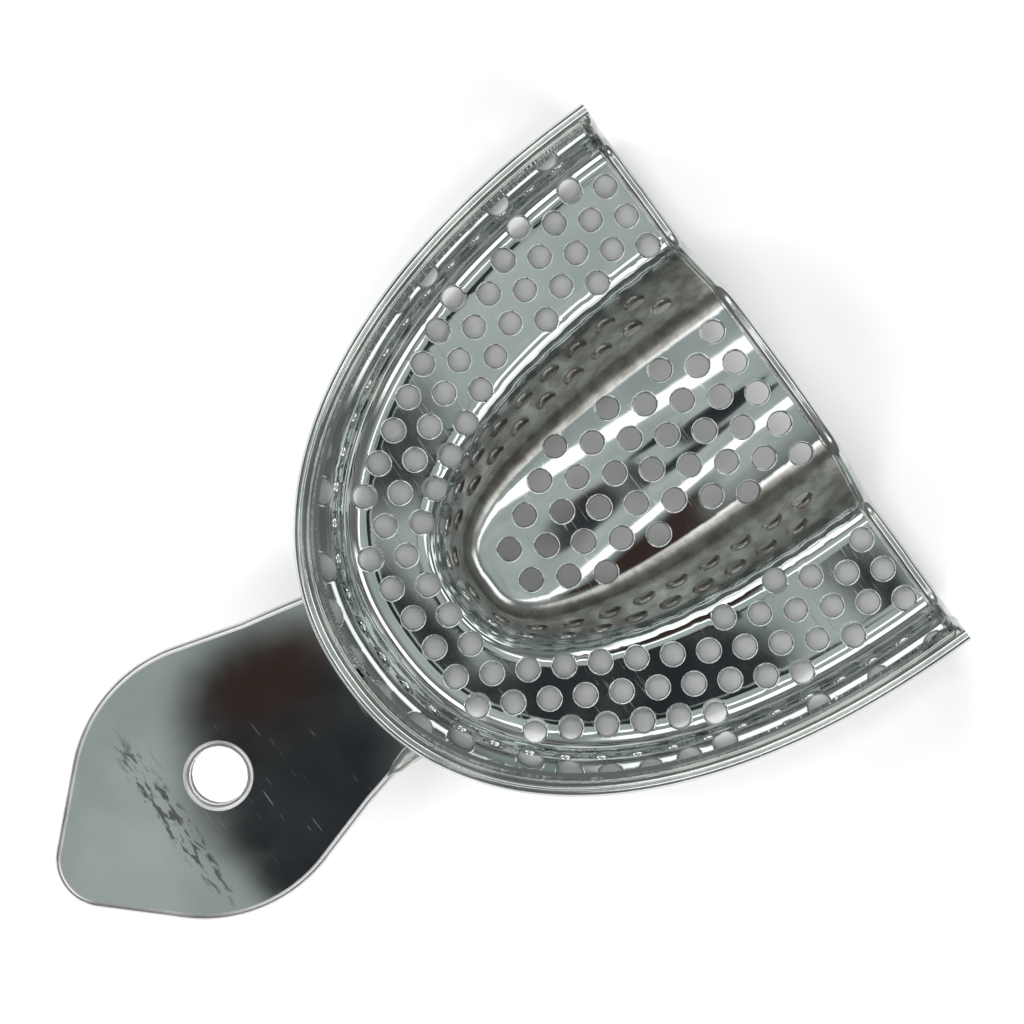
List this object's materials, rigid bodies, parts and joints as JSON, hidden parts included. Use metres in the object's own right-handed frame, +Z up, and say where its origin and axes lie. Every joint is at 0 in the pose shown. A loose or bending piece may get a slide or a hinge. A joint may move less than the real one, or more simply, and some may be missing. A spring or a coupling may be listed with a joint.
{
  "type": "dental impression tray",
  "caption": "Perforated stainless steel impression tray for an upper jaw, wire-rimmed, with a flat leaf-shaped handle and a hanging hole.",
  "frame": {"origin": "middle of the outside box, on the surface that the tray's trough rests on", "axes": "+Z up, out of the trough; -Y along the handle, away from the tray; +X across the arch"},
  "size_m": [0.0698, 0.0952, 0.0146],
  "materials": {
    "polished_steel": "mirror polished stainless steel with fine handling scratches",
    "wire_steel": "drawn stainless wire, polished along its length",
    "silver_solder": "hand finished silver solder"
  },
  "bodies": {
    "root": {"tray_body": "polished_steel", "rim_wire": "wire_steel", "back_wire": "wire_steel", "handle": "polished_steel", "handle_solder_left": "silver_solder", "handle_solder_right": "silver_solder", "corner_solder_left": "silver_solder", "corner_solder_right": "silver_solder"}
  },
  "joints": []
}
